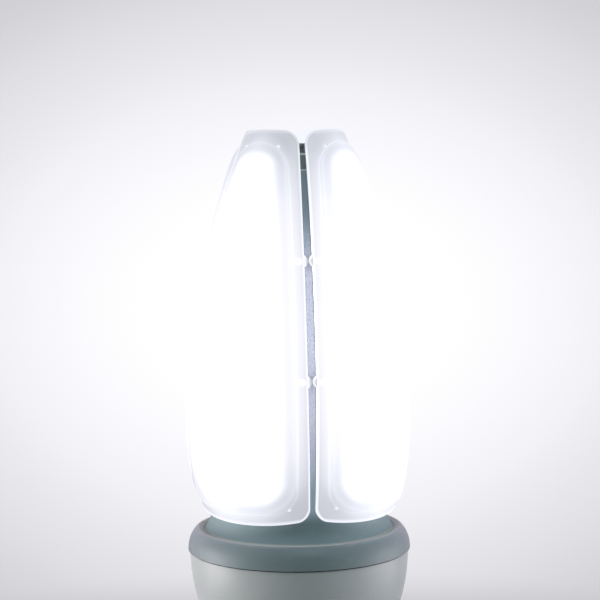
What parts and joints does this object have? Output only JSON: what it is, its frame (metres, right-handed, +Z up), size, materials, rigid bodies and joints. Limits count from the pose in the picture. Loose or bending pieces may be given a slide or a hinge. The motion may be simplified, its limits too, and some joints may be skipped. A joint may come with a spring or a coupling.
{
  "type": "led lamp",
  "caption": "LED lamp with an E40 screw cap, a rounded driver housing, a grey collar and a tapered head of frosted light petals on a cast core.",
  "frame": {"origin": "centre of the flat face of the cap's centre contact", "axes": "+Z up the lamp's axis, from the contact to the head; the gaps between the petals lie on the X and Y axes, and -Y is the gap that faces the front"},
  "size_m": [0.093, 0.093, 0.275],
  "materials": {
    "nickel": "nickel-plated brass",
    "contact_brass": "bare",
    "dark_insulator": "moulded",
    "pale_plastic": "satin",
    "grey_casting": "satin grey paint",
    "seal_rubber": "matte",
    "lid_aluminium": "as rolled",
    "screw_steel": "zinc plated",
    "lit_diffuser": "frosted white",
    "clear_rivet": "clear",
    "white_board": "white lacquer",
    "led_phosphor": "phosphor",
    "lead_sleeve": "sleeved",
    "green_board": "lacquered",
    "ferrite": "sintered",
    "bobbin_plastic": "moulded",
    "winding_copper": "enamelled copper",
    "can_sleeve": "shrink sleeve",
    "film_case": "moulded",
    "black_package": "moulded",
    "fuse_sleeve": "ceramic",
    "varistor_coat": "dipped",
    "line_sleeve": "sleeved",
    "neutral_sleeve": "sleeved"
  },
  "bodies": {
    "root": {"screw_shell": "nickel", "centre_contact": "contact_brass", "cap_insulator": "dark_insulator", "driver_housing": "pale_plastic", "collar_ring": "grey_casting", "heat_sink": "grey_casting", "top_cap": "grey_casting", "collar_gasket": "seal_rubber", "lead_grommet": "seal_rubber", "cover_gasket_1": "seal_rubber", "cover_gasket_2": "seal_rubber", "cover_gasket_3": "seal_rubber", "cover_gasket_4": "seal_rubber", "driver_lid": "lid_aluminium", "foot_screws": "screw_steel", "board_screws": "screw_steel", "top_cap_screws": "screw_steel", "led_board_screws": "screw_steel", "diffuser_cover_1": "lit_diffuser", "diffuser_cover_2": "lit_diffuser", "diffuser_cover_3": "lit_diffuser", "diffuser_cover_4": "lit_diffuser", "cover_rivets_1": "clear_rivet", "cover_rivets_2": "clear_rivet", "cover_rivets_3": "clear_rivet", "cover_rivets_4": "clear_rivet", "led_board_1": "white_board", "led_board_2": "white_board", "led_board_3": "white_board", "led_board_4": "white_board", "led_chips_1": "led_phosphor", "led_chips_2": "led_phosphor", "led_chips_3": "led_phosphor", "led_chips_4": "led_phosphor", "led_lead_1": "lead_sleeve", "led_lead_2": "lead_sleeve", "led_lead_3": "lead_sleeve", "led_lead_4": "lead_sleeve", "driver_board": "green_board", "transformer_core": "ferrite", "transformer_bobbin": "bobbin_plastic", "transformer_winding": "winding_copper", "choke": "winding_copper", "bulk_capacitor": "can_sleeve", "output_capacitor": "can_sleeve", "film_capacitor": "film_case", "bridge_rectifier": "black_package", "power_transistor": "black_package", "fuse": "fuse_sleeve", "varistor": "varistor_coat", "line_wire": "line_sleeve", "neutral_wire": "neutral_sleeve"}
  },
  "joints": []
}
